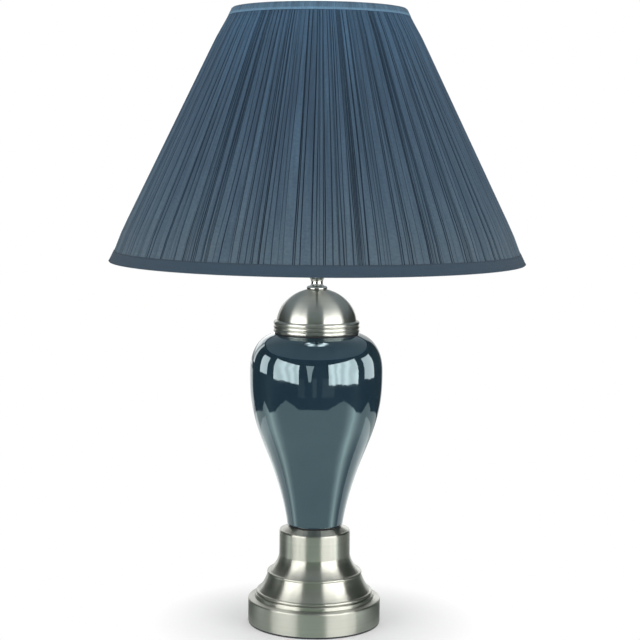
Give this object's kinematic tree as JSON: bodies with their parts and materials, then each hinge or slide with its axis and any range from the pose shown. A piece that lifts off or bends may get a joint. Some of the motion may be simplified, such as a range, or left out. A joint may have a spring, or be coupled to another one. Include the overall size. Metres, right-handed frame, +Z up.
{
  "type": "table lamp with shade",
  "caption": "Table lamp with a pleated cone shade held by a wire harp, a glazed vase body between a beaded metal dome and a stepped metal base, and a turn-key lamp holder.",
  "frame": {"origin": "centre of the felt pad's underside, on the surface that the lamp stands on", "axes": "+Z up along the lamp's axis, -Y towards the front where the turn key points, +Y towards the cord outlet, +X to the right seen from the front"},
  "size_m": [0.4571, 0.4572, 0.6858],
  "materials": {
    "felt": "matt",
    "board": "matt",
    "brushed_nickel": "brushed",
    "polished_nickel": "polished",
    "cast_iron": "rough",
    "zinc_steel": "satin",
    "black_rubber": "matt",
    "black_plastic": "satin",
    "blue_glaze": "gloss",
    "plated_brass": "satin",
    "insulating_paper": "matt",
    "phenolic": "satin",
    "white_wire": "satin",
    "shade_liner": "satin",
    "shade_cloth": "matt",
    "shade_tape": "matt",
    "bulb_glass": "frosted",
    "bulb_metal": "satin"
  },
  "bodies": {
    "lamp": {"felt_pad": "felt", "base_board": "board", "base_shell": "brushed_nickel", "base_weight": "cast_iron", "rod_washer": "zinc_steel", "rod_nut": "zinc_steel", "cord_bushing": "black_plastic", "rod": "zinc_steel", "vase_gasket": "black_rubber", "vase": "blue_glaze", "cap_gasket": "black_rubber", "dome_cap": "brushed_nickel", "neck": "polished_nickel", "harp_saddle": "polished_nickel", "saddle_nut": "zinc_steel", "holder_cap": "polished_nickel", "set_screw": "zinc_steel", "holder_shell": "polished_nickel", "holder_sleeve": "insulating_paper", "holder_core": "phenolic", "terminal_screws": "plated_brass", "screw_shell": "plated_brass", "centre_contact": "plated_brass"},
    "key": {"switch_key": "black_plastic"},
    "bulb": {"bulb_contact": "bulb_metal", "bulb_insulator": "phenolic", "bulb_cap": "bulb_metal", "bulb_glass": "bulb_glass"},
    "harp": {"harp_wire": "polished_nickel", "harp_stud": "polished_nickel"},
    "sleeve_left": {"harp_sleeve_left": "polished_nickel"},
    "sleeve_right": {"harp_sleeve_right": "polished_nickel"},
    "shade": {"spider": "white_wire", "bottom_ring": "white_wire", "shade_liner": "shade_liner", "shade_cover": "shade_cloth", "top_tape": "shade_tape", "bottom_tape": "shade_tape"},
    "finial": {"finial": "polished_nickel"}
  },
  "joints": [
    {"name": "switch_turn", "type": "hinge", "parent": "lamp", "child": "key", "pos_m": [0, -0.02, 0.4204], "axis": [0, -1, 0], "continuous": true},
    {"name": "bulb_lift", "type": "slide", "parent": "lamp", "child": "bulb", "axis": [0, 0, 1], "range_m": [0, 0.03]},
    {"name": "harp_lift", "type": "slide", "parent": "lamp", "child": "harp", "axis": [0, 0, 1], "range_m": [0, 0.15]},
    {"name": "sleeve_left_slide", "type": "slide", "parent": "harp", "child": "sleeve_left", "axis": [0, 0, 1], "range_m": [0, 0.018]},
    {"name": "sleeve_right_slide", "type": "slide", "parent": "harp", "child": "sleeve_right", "axis": [0, 0, 1], "range_m": [0, 0.018]},
    {"name": "shade_turn", "type": "hinge", "parent": "harp", "child": "shade", "pos_m": [0, 0, 0.6627], "axis": [0, 0, 1], "continuous": true},
    {"name": "finial_turn", "type": "hinge", "parent": "harp", "child": "finial", "pos_m": [0, 0, 0.67], "axis": [0, 0, 1], "continuous": true}
  ]
}
